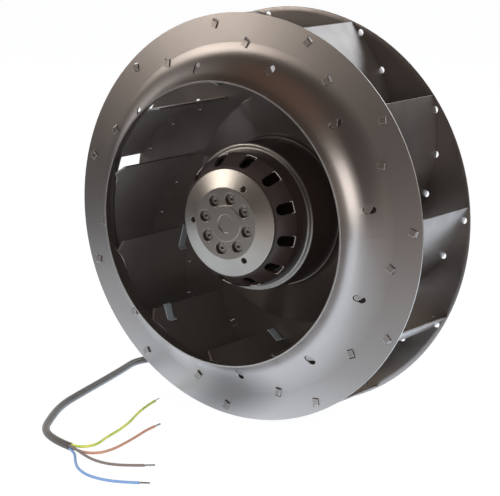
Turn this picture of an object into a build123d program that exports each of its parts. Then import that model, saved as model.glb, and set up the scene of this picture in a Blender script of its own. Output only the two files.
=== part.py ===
from build123d import *
import math
import os

# A plug fan: a backward-curved sheet-steel impeller on an external-rotor motor.
# Sizes are in millimetres. Every piece is built about local Z, with distances "ahead" measured
# from the motor's mounting face towards the inlet, local X to the right and local Y up as seen
# from the inlet. The finished part has its inlet towards -Y, +Z up and its mounting face at Y = 0.

# How far a cutting shape runs past what it cuts
PAST = 5.0

# Sheet metal of the impeller
SHEET = 1.5
RIM_RADIUS = 202.0
BACK_FRONT_FACE = 16.0
SHROUD_RIM_AHEAD = 105.6
SHROUD_SLOPE = 9.0
EYE_RADIUS = 138.2
THROAT_RADIUS = 40.0
BACK_ROLL_REACH = 5.0
BACK_ROLL_RADIUS = 16.0
BACK_COLLAR_AHEAD = 50.2
BACK_COLLAR_LENGTH = 7.0
BACK_BEND = 7.0

# Blades: the tip lies inside the rim, the root inside the eye and outside the back plate's dish
BLADE_COUNT = 11
BLADE_TIP_RADIUS = RIM_RADIUS - 1.5
BLADE_ROOT_RADIUS = EYE_RADIUS - 4.2
BLADE_WRAP = 40.8
BLADE_SAGITTA = 15.2
FIRST_TIP_ANGLE = 5.8
BLADE_CORNER_AHEAD = 131.5
BLADE_CHAMFER_RADIUS = EYE_RADIUS + 1.8
BACK_DISH_RADIUS = BLADE_ROOT_RADIUS - 15.0
SEAM_GAP = 0.1

# Square tabs that pass through slots in the shroud and are folded over its front face
OUTER_TAB_RADIUS = RIM_RADIUS - 7.2
OVAL_TAB_RADIUS = EYE_RADIUS + 15.9
MIDDLE_TAB_RADIUS = (OUTER_TAB_RADIUS + OVAL_TAB_RADIUS) / 2 + 1.15
TAB_WIDTH = 6.2
TAB_REACH = 6.3
TAB_BEND = 1.2
TAB_SEAT_GAP = 0.05
TAB_CLEARANCE = 0.25
TAB_SLOT_OUTER_GAP = 1.1
TAB_SLOT_CORNER = 0.6

# Oval tabs, folded down into their slots beside the eye
OVAL_SLOT_LENGTH = 10.0
OVAL_SLOT_WIDTH = 7.0
OVAL_SLOT_TURN = 8.0
OVAL_TAB_CLEARANCE = 0.55
OVAL_TAB_SINK = 0.8

# Tabs folded into the slots of the back plate
REAR_TAB_RADII = (OUTER_TAB_RADIUS, MIDDLE_TAB_RADIUS, EYE_RADIUS + 16.8)
REAR_TAB_SINK = 0.12
REAR_SLOT_LENGTH = 11.6
REAR_SLOT_WIDTH = 6.8
REAR_SLOT_SHIFT = 2.0

# Balance clips: blade number, distance ahead of the clip's middle, and length of the inner leg
CLIP_PLACES = ((9, 110.5, 14.0), (10, 22.4, 14.0), (8, 27.0, 23.0))
CLIP_WIDTH = 10.0
CLIP_THICKNESS = 0.5
CLIP_SEAT_GAP = 0.03
CLIP_OUTER_LEG = 4.5
CLIP_FLARE = 1.6
CLIP_FLARE_ANGLE = 25.0
CLIP_TAIL = 4.5
CLIP_TAIL_ANGLE = 55.0

# Rotor shell: a drum, a flat shoulder, a tapered wall up to a crease, and a dome up to the face
ROTOR_RADIUS = 73.6
ROTOR_WALL = 3.6
ROTOR_REAR_AHEAD = 20.0
ROTOR_SHOULDER_AHEAD = 94.9
ROTOR_SHOULDER_RADIUS = ROTOR_RADIUS - 5.7
ROTOR_SHOULDER_ROUND = 1.6
CREASE_RADIUS = ROTOR_SHOULDER_RADIUS - 1.7
CREASE_AHEAD = ROTOR_SHOULDER_AHEAD + 17.3
DOME_TOP_RADIUS = CREASE_RADIUS - 11.6
ROTOR_FACE_AHEAD = CREASE_AHEAD + 17.0
DOME_RADIUS = 59.0
DOME_WALL = 3.2
WEB_THICKNESS = 3.3
HUB_WEB_RADIUS = 36.0
HUB_WEB_THICKNESS = 9.2
HUB_NOSE_RADIUS = 10.2
VENT_COUNT = 12
VENT_WIDTH = 10.9
VENT_FIRST_ANGLE = 17.4
VENT_OUTER_RADIUS = CREASE_RADIUS - 0.3
VENT_INNER_RADIUS = DOME_TOP_RADIUS + 1.1

# Hub disc on the rotor's front
DISC_RADIUS = DOME_TOP_RADIUS - 1.4
DISC_RIM_HEIGHT = 2.4
DISC_RIM_ROUND = 1.2
DISC_FLAT_RADIUS = 35.4
DISC_FLAT_AHEAD = ROTOR_FACE_AHEAD + 8.0
DISC_STEP = 0.5
DISC_BOSS_RADIUS = 17.6
DISC_BOSS_HEIGHT = 0.7
DISC_DIMPLE_RADIUS = 9.0
DISC_DIMPLE_DEPTH = 1.3
SPIGOT_RADIUS = 34.0
SPIGOT_DEPTH = 2.4
SEAT_GAP = 0.06
DISC_HOLE_RADIUS = 3.0
DISC_HOLE_CIRCLE = 40.3
DISC_HOLE_COUNT = 3
DISC_HOLE_FIRST_ANGLE = 61.0
HUB_SCREW_COUNT = 8
HUB_SCREW_CIRCLE = 25.2
HUB_SCREW_FIRST_ANGLE = 32.8
POCKET_RADIUS = 6.25
POCKET_DEPTH = 6.3
SCREW_RADIUS = 2.5
SCREW_HEAD_RADIUS = 4.25
SCREW_HEAD_HEIGHT = 3.6
SCREW_LENGTH = 10.0
SCREW_KEY_RADIUS = 2.3
SCREW_KEY_DEPTH = 2.0
THREAD_GAP = 0.05

# Shaft and bearings
SHAFT_RADIUS = 7.5
SHAFT_SHOULDER_RADIUS = 9.2
SHAFT_REAR_AHEAD = 5.4
SHAFT_FRONT_GAP = 1.2
PRESS_GAP = 0.02
BEARING_RADIUS = 17.5
BEARING_WIDTH = 11.0
BALL_CIRCLE = 12.5
BALL_RADIUS = 2.975
BALL_COUNT = 8
RACE_GAP = 0.04
INNER_LAND_RADIUS = 10.4
OUTER_LAND_RADIUS = 14.6
CAGE_THICKNESS = 1.6
CAGE_WIDTH = 7.0
CAGE_GAP = 0.12
SHIELD_THICKNESS = 0.4
SHIELD_INSET = 0.3
SHIELD_BORE = 10.9
REAR_BEARING_AHEAD = 8.0
FRONT_BEARING_AHEAD = 87.0
SPRING_SPACE = 1.5
SPRING_THICKNESS = 0.5
SPRING_INSET = 0.3
CIRCLIP_THICKNESS = 1.0
CIRCLIP_RADIUS = 9.6
CIRCLIP_GROOVE_RADIUS = 7.0
CIRCLIP_GAP_ANGLE = 50.0

# Stator flange, which carries the whole fan
MOUNT_BOSS_RADIUS = 46.0
MOUNT_BOSS_BORE = 28.0
MOUNT_CIRCLE_DIAMETER = 75.0
MOUNT_HOLE_COUNT = 4
MOUNT_HOLE_RADIUS = 2.5
MOUNT_HOLE_DEPTH = 12.0
FLANGE_RADIUS = ROTOR_RADIUS + 0.4
FLANGE_REAR_AHEAD = 8.0
FLANGE_THICKNESS = 10.0
FLANGE_LIP_THICKNESS = 2.7
FLANGE_LIP_HEIGHT = 7.0
LABYRINTH_GAP = 0.8
RIB_COUNT = 8
RIB_WIDTH = 4.0
RIB_HEIGHT = 4.0
RIB_END_RADIUS = FLANGE_RADIUS - 5.0
TUBE_RADIUS = 21.5
TUBE_BORE_RADIUS = 15.4
CAP_COLLAR_AHEAD = 0.5
BORE_CAP_THICKNESS = 1.5
BORE_CAP_INSET = 1.5

# Stator and rotor iron
CORE_REAR_AHEAD = 32.0
CORE_LENGTH = 52.0
AIR_GAP = 0.4
ROTOR_CORE_DEPTH = 14.4
STATOR_RADIUS = ROTOR_RADIUS - ROTOR_WALL - ROTOR_CORE_DEPTH - AIR_GAP
SLOT_COUNT = 24
SLOT_WIDTH = 6.0
SLOT_BOTTOM_RADIUS = 34.0
SLOT_TOP_RADIUS = STATOR_RADIUS - 3.2
SLOT_MOUTH = 2.8
INSULATOR_THICKNESS = 1.2
COIL_CLEARANCE = 0.5
END_TURN_INNER_RADIUS = 31.0
END_TURN_OUTER_RADIUS = STATOR_RADIUS - 2.8
END_TURN_HEIGHT = 10.4
END_TURN_ROUND = 3.6
BAR_COUNT = 34
BAR_RADIUS = 2.2
BAR_CIRCLE = STATOR_RADIUS + AIR_GAP + 6.8
CAGE_RING_HEIGHT = 5.5
CAGE_RING_WALL_GAP = 1.0
CUTOUT_SIZE = (13.0, 8.0, 4.0)
CUTOUT_RADIUS = (END_TURN_INNER_RADIUS + END_TURN_OUTER_RADIUS) / 2
CUTOUT_ANGLE = 90.0

# Lead: outlet boss, strain relief, sheath, four conductors and their end sleeves
OUTLET_ANGLE = 235.0
OUTLET_TILT = 15.0
OUTLET_RADIUS = FLANGE_RADIUS
OUTLET_AHEAD = 9.0
OUTLET_BOSS_RADIUS = 8.2
OUTLET_BOSS_LENGTH = 26.0
SHEATH_DIAMETER = 7.5
CORE_DIAMETER = 2.6
CORE_OFFSET = 1.35
RELIEF_LENGTH = 25.0
RELIEF_BASE_RADIUS = 7.2
RELIEF_TIP_RADIUS = 5.0
RELIEF_SEAT_RADIUS = 5.6
RELIEF_SEAT_DEPTH = 3.0
RELIEF_GROOVES = 5
RELIEF_GROOVE_DEPTH = 0.9
RELIEF_GROOVE_WIDTH = 1.4
RELIEF_GROOVE_STEP = 3.4
RELIEF_FIRST_GROOVE = 6.0
LEAD_HOLE_RADIUS = 3.2
SLEEVE_RADIUS = 1.0
SLEEVE_LENGTH = 10.0
FIRST_RUN = 50.0
RUN_SHARE = 0.45

# The surface that the rims touch, as a height in local Y
FLOOR = -RIM_RADIUS
ON_FLOOR = FLOOR + SHEATH_DIAMETER / 2
CORE_ON_FLOOR = FLOOR + CORE_DIAMETER / 2


# Helpers

def save(name, shape):
    """Turn a piece from its building position to the part's frame and write it."""
    export_step(Rot(90, 0, 0) * shape, f"parts/{name}.step")


def polar(radius, angle):
    """A point in local X and Y from a radius and an angle in degrees."""
    return (radius * math.cos(math.radians(angle)), radius * math.sin(math.radians(angle)))


def turned(*points):
    """A solid of revolution about local Z from (radius, ahead) corners."""
    return revolve(Plane.XZ * make_face(Polyline(*points, close=True)), Axis.Z)


def turned_edges(*edges):
    """A solid of revolution about local Z from edges drawn in (radius, ahead)."""
    return revolve(Plane.XZ * make_face(Curve() + list(edges)), Axis.Z)


def drum(outer, inner, start, end):
    """A plain ring from one distance ahead to another."""
    if inner <= 0:
        return turned((0, start), (outer, start), (outer, end), (0, end))
    return turned((inner, start), (outer, start), (outer, end), (inner, end))


def around(shape, count, first=0.0):
    """Copies of a shape at equal angles about local Z."""
    return [Rot(0, 0, first + 360.0 * i / count) * shape for i in range(count)]


# Shroud outline: a cone from the rim, then an arc that ends along the axis at the eye

SLOPE_SIN = math.sin(math.radians(SHROUD_SLOPE))
SLOPE_COS = math.cos(math.radians(SHROUD_SLOPE))
THROAT_CENTRE_RADIUS = EYE_RADIUS + SHEET + THROAT_RADIUS
CONE_AT_CENTRE = SHROUD_RIM_AHEAD + (RIM_RADIUS - THROAT_CENTRE_RADIUS) * SLOPE_SIN / SLOPE_COS
THROAT_CENTRE_AHEAD = CONE_AT_CENTRE + THROAT_RADIUS / SLOPE_COS


def throat_arc(offset):
    """The arc of the throat, offset behind the front surface, from the cone to the eye."""
    reach = THROAT_RADIUS + offset
    spots = []
    for tilt in (SHROUD_SLOPE, (SHROUD_SLOPE + 90.0) / 2, 90.0):
        angle = math.radians(tilt)
        spots.append((THROAT_CENTRE_RADIUS - reach * math.sin(angle),
                      THROAT_CENTRE_AHEAD - reach * math.cos(angle)))
    return spots


def shroud_outline(offset):
    """Edges of a surface at an offset behind the front surface, from the rim to the eye."""
    spots = throat_arc(offset)
    rim = (RIM_RADIUS - offset * SLOPE_SIN, SHROUD_RIM_AHEAD - offset * SLOPE_COS)
    return Line(rim, spots[0]), ThreePointArc(*spots), rim, spots[2]


# Blade outline: one arc in local X and Y, from the root at the eye to the tip at the rim

BLADE_TIP = Vector(*polar(BLADE_TIP_RADIUS, 0.0))
BLADE_ROOT = Vector(*polar(BLADE_ROOT_RADIUS, -BLADE_WRAP))
BLADE_CHORD = (BLADE_TIP - BLADE_ROOT).length
BLADE_RADIUS = (BLADE_CHORD ** 2 / 4 + BLADE_SAGITTA ** 2) / (2 * BLADE_SAGITTA)
CHORD_DIRECTION = (BLADE_TIP - BLADE_ROOT).normalized()
INWARD = Vector(-CHORD_DIRECTION.Y, CHORD_DIRECTION.X)
BLADE_CENTRE = (BLADE_TIP + BLADE_ROOT) * 0.5 + INWARD * (BLADE_RADIUS - BLADE_SAGITTA)
ROOT_BEARING = math.degrees(math.atan2(BLADE_ROOT.Y - BLADE_CENTRE.Y, BLADE_ROOT.X - BLADE_CENTRE.X))
BLADE_LENGTH = 2 * BLADE_RADIUS * math.asin(BLADE_CHORD / 2 / BLADE_RADIUS)


def blade_point(along, inward=0.0):
    """A point at a distance along the blade from its root, and inward from its middle line."""
    bearing = math.radians(ROOT_BEARING) + along / BLADE_RADIUS
    reach = BLADE_RADIUS - inward
    return Vector(BLADE_CENTRE.X + reach * math.cos(bearing), BLADE_CENTRE.Y + reach * math.sin(bearing))


def blade_tangent(along):
    """The direction along the blade, from root to tip."""
    bearing = math.radians(ROOT_BEARING) + along / BLADE_RADIUS
    return Vector(-math.sin(bearing), math.cos(bearing))


def blade_along(radius):
    """Distance along the blade at which its middle line passes a radius."""
    low, high = 0.0, BLADE_LENGTH
    while high - low > 1e-4:
        middle = (low + high) / 2
        if blade_point(middle).length < radius:
            low = middle
        else:
            high = middle
    return low


def blade_band(low, high, start, end):
    """A face between two offsets inward from the middle line, over a stretch of the blade."""
    middle = (start + end) / 2
    inner = [blade_point(s, high) for s in (start, middle, end)]
    outer = [blade_point(s, low) for s in (end, middle, start)]
    edges = [ThreePointArc(*inner), Line(inner[2], outer[0]), ThreePointArc(*outer), Line(outer[2], inner[0])]
    return make_face(Curve() + edges)


def ahead_of_blades():
    """Everything ahead of the blades' front edges: the shroud's rear face and the root chamfer."""
    line, arc, rim, lip = shroud_outline(SHEET + SEAM_GAP)
    meet_drop = THROAT_CENTRE_RADIUS - BLADE_CHAMFER_RADIUS
    meet_ahead = THROAT_CENTRE_AHEAD - math.sqrt((THROAT_RADIUS + SHEET + SEAM_GAP) ** 2 - meet_drop ** 2)
    slope = (meet_ahead - BLADE_CORNER_AHEAD) / (BLADE_CHAMFER_RADIUS - BLADE_ROOT_RADIUS)
    start = BLADE_ROOT_RADIUS - PAST
    above = THROAT_CENTRE_AHEAD + PAST
    beyond = RIM_RADIUS + PAST
    beyond_ahead = rim[1] - (beyond - rim[0]) * SLOPE_SIN / SLOPE_COS
    chamfer = turned((start, BLADE_CORNER_AHEAD - PAST * slope), (BLADE_CHAMFER_RADIUS, meet_ahead),
                     (BLADE_CHAMFER_RADIUS, above), (start, above))
    cone = turned_edges(line, arc, Line(lip, (lip[0], above)), Line((lip[0], above), (beyond, above)),
                        Line((beyond, above), (beyond, beyond_ahead)), Line((beyond, beyond_ahead), rim))
    return chamfer + cone


# Tabs and their slots, drawn in plan: X runs inward from the blade's middle line

def square_place(radius):
    """A level plane at the blade's middle line, with X inward from the blade."""
    along = blade_along(radius)
    tangent = blade_tangent(along)
    return Plane(origin=blade_point(along), x_dir=Vector(-tangent.Y, tangent.X), z_dir=(0, 0, 1))


def oval_place():
    """A level plane at the blade's middle line beside the eye, with X nearly towards the axis."""
    spot = blade_point(blade_along(OVAL_TAB_RADIUS))
    return Plane(origin=spot, x_dir=(spot * -1.0).rotate(Axis.Z, -OVAL_SLOT_TURN), z_dir=(0, 0, 1))


def inward_side(reach):
    """All that lies inward of the blade's outer face, up to a reach."""
    return blade_band(-SHEET / 2, reach, 0.0, BLADE_LENGTH)


def square_slot(radius):
    """The slot that a square tab comes out of, wider on the blade's outer side."""
    start = -SHEET / 2 - TAB_SLOT_OUTER_GAP
    end = SHEET / 2 + TAB_CLEARANCE
    slot = Pos((start + end) / 2, 0) * Rectangle(end - start, TAB_WIDTH + 2 * TAB_CLEARANCE)
    return square_place(radius) * fillet(slot.vertices(), TAB_SLOT_CORNER)


def oval(place, length, width, shift, inset):
    """A round-ended outline along the place's X, smaller all round by an inset."""
    return place * Pos(shift, 0) * SlotOverall(length - 2 * inset, width - 2 * inset)


def shroud_sheet(front, rear):
    """The shroud's shape between two offsets behind its front surface."""
    front_line, front_arc, front_rim, front_lip = shroud_outline(front)
    rear_line, rear_arc, rear_rim, rear_lip = shroud_outline(rear)
    return turned_edges(front_line, front_arc, Line(front_lip, rear_lip), rear_arc, rear_line,
                        Line(rear_rim, front_rim))


def square_tab(radius, wall):
    """A tab that passes through the shroud and is bent inward over its front face."""
    place = square_place(radius)
    outline = place * Rectangle(2 * TAB_REACH, TAB_WIDTH) & inward_side(2 * TAB_REACH)
    top = -TAB_SEAT_GAP - SHEET
    flap = extrude(outline, THROAT_CENTRE_AHEAD) & shroud_sheet(top, -TAB_SEAT_GAP)
    neck = extrude(outline & wall, THROAT_CENTRE_AHEAD) & shroud_sheet(top, 2 * SHEET)
    tab = flap + neck
    outer_edges = tab.edges().filter_by(lambda e: place.to_local_coords(e.center()).X < -SHEET / 4)
    return fillet(outer_edges.sort_by(Axis.Z)[-1], TAB_BEND)


def oval_tab(wall):
    """A tab that lies a little below the shroud's front face, inside its oval slot."""
    outline = oval(oval_place(), OVAL_SLOT_LENGTH, OVAL_SLOT_WIDTH, 0.0, OVAL_TAB_CLEARANCE)
    outline &= inward_side(2 * OVAL_SLOT_LENGTH)
    flap = extrude(outline, THROAT_CENTRE_AHEAD) & shroud_sheet(OVAL_TAB_SINK, OVAL_TAB_SINK + SHEET)
    neck = extrude(outline & wall, THROAT_CENTRE_AHEAD) & shroud_sheet(OVAL_TAB_SINK, 2 * SHEET)
    return flap + neck


def rear_tab(radius, wall):
    """A tab bent inward in its slot in the back plate."""
    outline = oval(square_place(radius), REAR_SLOT_LENGTH, REAR_SLOT_WIDTH, REAR_SLOT_SHIFT, TAB_CLEARANCE)
    outline &= inward_side(2 * REAR_SLOT_LENGTH)
    tab = extrude(outline, SHEET) + extrude(outline & wall, 2 * SHEET)
    return Pos(0, 0, BACK_FRONT_FACE - SHEET + REAR_TAB_SINK) * tab


def blade():
    """One blade with its tip at angle 0: the curved plate and its folded tabs."""
    wall = blade_band(-SHEET / 2, SHEET / 2, 0.0, BLADE_LENGTH)
    start = BACK_FRONT_FACE + SEAM_GAP
    plate = Pos(0, 0, start) * extrude(wall, THROAT_CENTRE_AHEAD - start) - ahead_of_blades()
    plate += square_tab(OUTER_TAB_RADIUS, wall)
    plate += square_tab(MIDDLE_TAB_RADIUS, wall)
    plate += oval_tab(wall)
    for radius in REAR_TAB_RADII:
        plate += rear_tab(radius, wall)
    return plate.clean()


def blade_angle(number):
    """The angle of the tip of a blade, numbered from 1."""
    return FIRST_TIP_ANGLE + 360.0 * (number - 1) / BLADE_COUNT


def front_shroud():
    """The spun ring around the eye, with three slots for the tabs of each blade."""
    slots = [square_slot(OUTER_TAB_RADIUS), square_slot(MIDDLE_TAB_RADIUS),
             oval(oval_place(), OVAL_SLOT_LENGTH, OVAL_SLOT_WIDTH, 0.0, 0.0)]
    cutters = [extrude(slot, THROAT_CENTRE_AHEAD) for slot in slots]
    return shroud_sheet(0.0, SHEET) - [copy for cutter in cutters
                                       for copy in around(cutter, BLADE_COUNT, FIRST_TIP_ANGLE)]


def back_plate():
    """The rear disc: a collar on the rotor, a dished cone, a flat ring and a rim rolled back."""
    half = SHEET / 2
    flat = BACK_FRONT_FACE - half
    collar = ROTOR_RADIUS + SEAT_GAP + half
    roll_start = RIM_RADIUS - BACK_ROLL_REACH
    bends = FilletPolyline((collar, BACK_COLLAR_AHEAD), (collar, BACK_COLLAR_AHEAD - BACK_COLLAR_LENGTH),
                           (BACK_DISH_RADIUS, flat), (roll_start, flat), radius=BACK_BEND)
    roll = math.asin(BACK_ROLL_REACH / BACK_ROLL_RADIUS)
    reach = BACK_ROLL_RADIUS - half
    spots = [(roll_start + reach * math.sin(angle), flat - reach * (1 - math.cos(angle)))
             for angle in (0.0, roll / 2, roll)]
    section = trace(bends + ThreePointArc(*spots), SHEET)
    cutters = [extrude(oval(square_place(radius), REAR_SLOT_LENGTH, REAR_SLOT_WIDTH, REAR_SLOT_SHIFT, 0.0),
                       BACK_COLLAR_AHEAD) for radius in REAR_TAB_RADII]
    return revolve(Plane.XZ * section, Axis.Z) - [copy for cutter in cutters
                                                  for copy in around(cutter, BLADE_COUNT, FIRST_TIP_ANGLE)]


def balance_clip(number, ahead, inner_length):
    """An S-shaped strip hooked over the leading edge of a blade."""
    stand_off = SHEET / 2 + CLIP_SEAT_GAP + CLIP_THICKNESS / 2
    nose = blade_point(0.0) - blade_tangent(0.0) * stand_off
    start = blade_point(CLIP_OUTER_LEG, -stand_off)
    flare = Line(start + blade_tangent(CLIP_OUTER_LEG).rotate(Axis.Z, -CLIP_FLARE_ANGLE) * CLIP_FLARE, start)
    outer_leg = ThreePointArc(*[blade_point(s, -stand_off) for s in (CLIP_OUTER_LEG, CLIP_OUTER_LEG / 2, 0.0)])
    hook = ThreePointArc(blade_point(0.0, -stand_off), nose, blade_point(0.0, stand_off))
    inner_leg = ThreePointArc(*[blade_point(s, stand_off) for s in (0.0, inner_length / 2, inner_length)])
    end = blade_point(inner_length, stand_off)
    tail = Line(end, end + blade_tangent(inner_length).rotate(Axis.Z, CLIP_TAIL_ANGLE) * CLIP_TAIL)
    section = trace([flare, outer_leg, hook, inner_leg, tail], CLIP_THICKNESS)
    strip = Pos(0, 0, ahead - CLIP_WIDTH / 2) * extrude(section, CLIP_WIDTH)
    return Rot(0, 0, blade_angle(number)) * strip


# Rotor

def circle_centre(first, second, radius):
    """Centre of the circle of a radius through two (radius, ahead) points, towards the axis."""
    chord = second - first
    towards_axis = Vector(-chord.Y, chord.X).normalized()
    return (first + second) * 0.5 + towards_axis * math.sqrt(radius ** 2 - chord.length ** 2 / 4)


DOME_CENTRE = circle_centre(Vector(CREASE_RADIUS, CREASE_AHEAD), Vector(DOME_TOP_RADIUS, ROTOR_FACE_AHEAD),
                            DOME_RADIUS)


def dome_radius(ahead, inset):
    """Radius of a surface inside the dome's outer one, at a distance ahead."""
    return DOME_CENTRE.X + math.sqrt((DOME_RADIUS - inset) ** 2 - (ahead - DOME_CENTRE.Y) ** 2)


def dome_arc(start, end, inset):
    return ThreePointArc(*[(dome_radius(a, inset), a) for a in (start, (start + end) / 2, end)])


def bell(shoulder_ahead, face_ahead, drum_radius, inset):
    """The bell's full form: a drum, a shoulder, a tapered wall and a dome, inset from the outer surface."""
    wall_start = ROTOR_SHOULDER_RADIUS - inset
    crease = dome_radius(CREASE_AHEAD, inset)
    dome_end = dome_radius(face_ahead, inset)
    return turned_edges(
        Line((0, ROTOR_REAR_AHEAD), (drum_radius, ROTOR_REAR_AHEAD)),
        Line((drum_radius, ROTOR_REAR_AHEAD), (drum_radius, shoulder_ahead)),
        Line((drum_radius, shoulder_ahead), (wall_start, shoulder_ahead)),
        Line((wall_start, shoulder_ahead), (crease, CREASE_AHEAD)),
        dome_arc(CREASE_AHEAD, face_ahead, inset),
        Line((dome_end, face_ahead), (0, face_ahead)),
        Line((0, face_ahead), (0, ROTOR_REAR_AHEAD)))


def vent_cutter():
    """One vent: a slot across the dome's wall, square at its outer end and round at its inner end."""
    inner_ahead = DOME_CENTRE.Y + math.sqrt(DOME_RADIUS ** 2 - (VENT_INNER_RADIUS - DOME_CENTRE.X) ** 2)
    outer_ahead = DOME_CENTRE.Y + math.sqrt(DOME_RADIUS ** 2 - (VENT_OUTER_RADIUS - DOME_CENTRE.X) ** 2)
    way = Vector(VENT_INNER_RADIUS - VENT_OUTER_RADIUS, 0, inner_ahead - outer_ahead)
    across = Vector(way.Z, 0, -way.X)
    place = Plane(origin=(VENT_OUTER_RADIUS, 0, outer_ahead), x_dir=way, z_dir=across)
    straight = way.length - VENT_WIDTH / 2
    outline = Pos(straight / 2, 0) * Rectangle(straight, VENT_WIDTH) + Pos(straight, 0) * Circle(VENT_WIDTH / 2)
    return extrude(place * outline, DOME_WALL + PAST, both=True)


def rotor_shell():
    """The motor's outer bell, with its vented dome, hub web and nose."""
    outside = bell(ROTOR_SHOULDER_AHEAD, ROTOR_FACE_AHEAD, ROTOR_RADIUS, 0.0)
    drum_edges = outside.edges().filter_by(GeomType.CIRCLE).group_by(SortBy.RADIUS)[-1]
    outside = fillet(drum_edges.sort_by(Axis.Z)[-1], ROTOR_SHOULDER_ROUND)
    inside = bell(ROTOR_SHOULDER_AHEAD - DOME_WALL, ROTOR_FACE_AHEAD - WEB_THICKNESS,
                  ROTOR_RADIUS - ROTOR_WALL, DOME_WALL)
    shell = outside - inside - around(vent_cutter(), VENT_COUNT, VENT_FIRST_ANGLE)
    hub_rear = ROTOR_FACE_AHEAD - HUB_WEB_THICKNESS
    shell += turned((0, FRONT_BEARING_FRONT), (HUB_NOSE_RADIUS, FRONT_BEARING_FRONT),
                    (HUB_NOSE_RADIUS, hub_rear), (HUB_WEB_RADIUS, hub_rear), (HUB_WEB_RADIUS, ROTOR_FACE_AHEAD),
                    (0, ROTOR_FACE_AHEAD))
    shell -= drum(SPIGOT_RADIUS + SEAT_GAP, 0, ROTOR_FACE_AHEAD - SPIGOT_DEPTH, ROTOR_FACE_AHEAD + PAST)
    shell -= drum(SHAFT_RADIUS + PRESS_GAP, 0, 0, ROTOR_FACE_AHEAD)
    screw_hole = Pos(0, 0, ROTOR_FACE_AHEAD) * Cylinder(SCREW_RADIUS + THREAD_GAP, 4 * HUB_WEB_THICKNESS)
    return shell - [Pos(*polar(HUB_SCREW_CIRCLE, angle)) * screw_hole for angle in hub_screw_angles()]


def hub_screw_angles():
    return [HUB_SCREW_FIRST_ANGLE + 360.0 * i / HUB_SCREW_COUNT for i in range(HUB_SCREW_COUNT)]


def hub_disc():
    """The disc on the rotor's face: a chamfered rim, a centre boss, screw pockets and three holes."""
    slope_end = DISC_FLAT_AHEAD - DISC_STEP
    rim_top = ROTOR_FACE_AHEAD + DISC_RIM_HEIGHT
    boss_top = DISC_FLAT_AHEAD + DISC_BOSS_HEIGHT
    dimple_floor = boss_top - DISC_DIMPLE_DEPTH
    spigot_end = ROTOR_FACE_AHEAD - SPIGOT_DEPTH + SEAT_GAP
    disc = turned((0, spigot_end), (SPIGOT_RADIUS, spigot_end), (SPIGOT_RADIUS, ROTOR_FACE_AHEAD),
                  (DISC_RADIUS, ROTOR_FACE_AHEAD), (DISC_RADIUS, rim_top), (DISC_FLAT_RADIUS, slope_end),
                  (DISC_FLAT_RADIUS, DISC_FLAT_AHEAD), (DISC_BOSS_RADIUS, DISC_FLAT_AHEAD),
                  (DISC_BOSS_RADIUS, boss_top), (DISC_DIMPLE_RADIUS, boss_top),
                  (DISC_DIMPLE_RADIUS, dimple_floor), (0, dimple_floor))
    rim_edges = disc.edges().filter_by(GeomType.CIRCLE).group_by(SortBy.RADIUS)[-1]
    disc = fillet(rim_edges.sort_by(Axis.Z)[-1], DISC_RIM_ROUND)
    pocket =Pos(0, 0, POCKET_DEPTH / 2) * Cylinder(POCKET_RADIUS, POCKET_DEPTH)
    screw_hole = Cylinder(SCREW_RADIUS + 2 * THREAD_GAP, 2 * DISC_RADIUS)
    pocket_floor = DISC_FLAT_AHEAD - POCKET_DEPTH
    cutters = []
    for angle in hub_screw_angles():
        place = Pos(*polar(HUB_SCREW_CIRCLE, angle), pocket_floor)
        cutters += [place * pocket, place * screw_hole]
    jack_hole = Pos(DISC_HOLE_CIRCLE, 0, DISC_FLAT_AHEAD) * Cylinder(DISC_HOLE_RADIUS, 2 * DISC_RADIUS)
    return disc - cutters - around(jack_hole, DISC_HOLE_COUNT, DISC_HOLE_FIRST_ANGLE)


def hub_screws():
    """The socket-head screws that hold the hub disc to the rotor."""
    seat = DISC_FLAT_AHEAD - POCKET_DEPTH
    top = seat + SCREW_HEAD_HEIGHT
    screw = turned((0, seat - SCREW_LENGTH), (SCREW_RADIUS, seat - SCREW_LENGTH), (SCREW_RADIUS, seat),
                   (SCREW_HEAD_RADIUS, seat), (SCREW_HEAD_RADIUS, top), (0, top))
    screw -= Pos(0, 0, top - SCREW_KEY_DEPTH) * extrude(RegularPolygon(SCREW_KEY_RADIUS, 6), SCREW_LENGTH)
    return Compound([Pos(*polar(HUB_SCREW_CIRCLE, angle)) * screw for angle in hub_screw_angles()])


def rotor_core():
    """The rotor's iron ring with a hole for each bar of the cage."""
    core = drum(ROTOR_RADIUS - ROTOR_WALL - PRESS_GAP, STATOR_RADIUS + AIR_GAP,
                CORE_REAR_AHEAD, CORE_REAR_AHEAD + CORE_LENGTH)
    middle = CORE_REAR_AHEAD + CORE_LENGTH / 2
    hole = Pos(BAR_CIRCLE, 0, middle) * Cylinder(BAR_RADIUS + PRESS_GAP, CORE_LENGTH + PAST)
    return core - around(hole, BAR_COUNT)


def rotor_cage():
    """The cast cage: bars through the rotor's iron, joined by a ring at each end."""
    rear = CORE_REAR_AHEAD
    front = rear + CORE_LENGTH
    outer = ROTOR_RADIUS - ROTOR_WALL - CAGE_RING_WALL_GAP
    inner = STATOR_RADIUS + AIR_GAP + CAGE_RING_WALL_GAP
    bar = Pos(BAR_CIRCLE, 0, (rear + front) / 2) * Cylinder(BAR_RADIUS, CORE_LENGTH + CAGE_RING_HEIGHT)
    cage = drum(outer, inner, rear - CAGE_RING_HEIGHT, rear) + drum(outer, inner, front, front + CAGE_RING_HEIGHT)
    return cage + around(bar, BAR_COUNT)


# Shaft and bearings

REAR_BEARING_FRONT = REAR_BEARING_AHEAD + BEARING_WIDTH
FRONT_BEARING_FRONT = FRONT_BEARING_AHEAD + BEARING_WIDTH
SHAFT_FRONT_AHEAD = ROTOR_FACE_AHEAD - SPIGOT_DEPTH - SHAFT_FRONT_GAP


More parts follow.
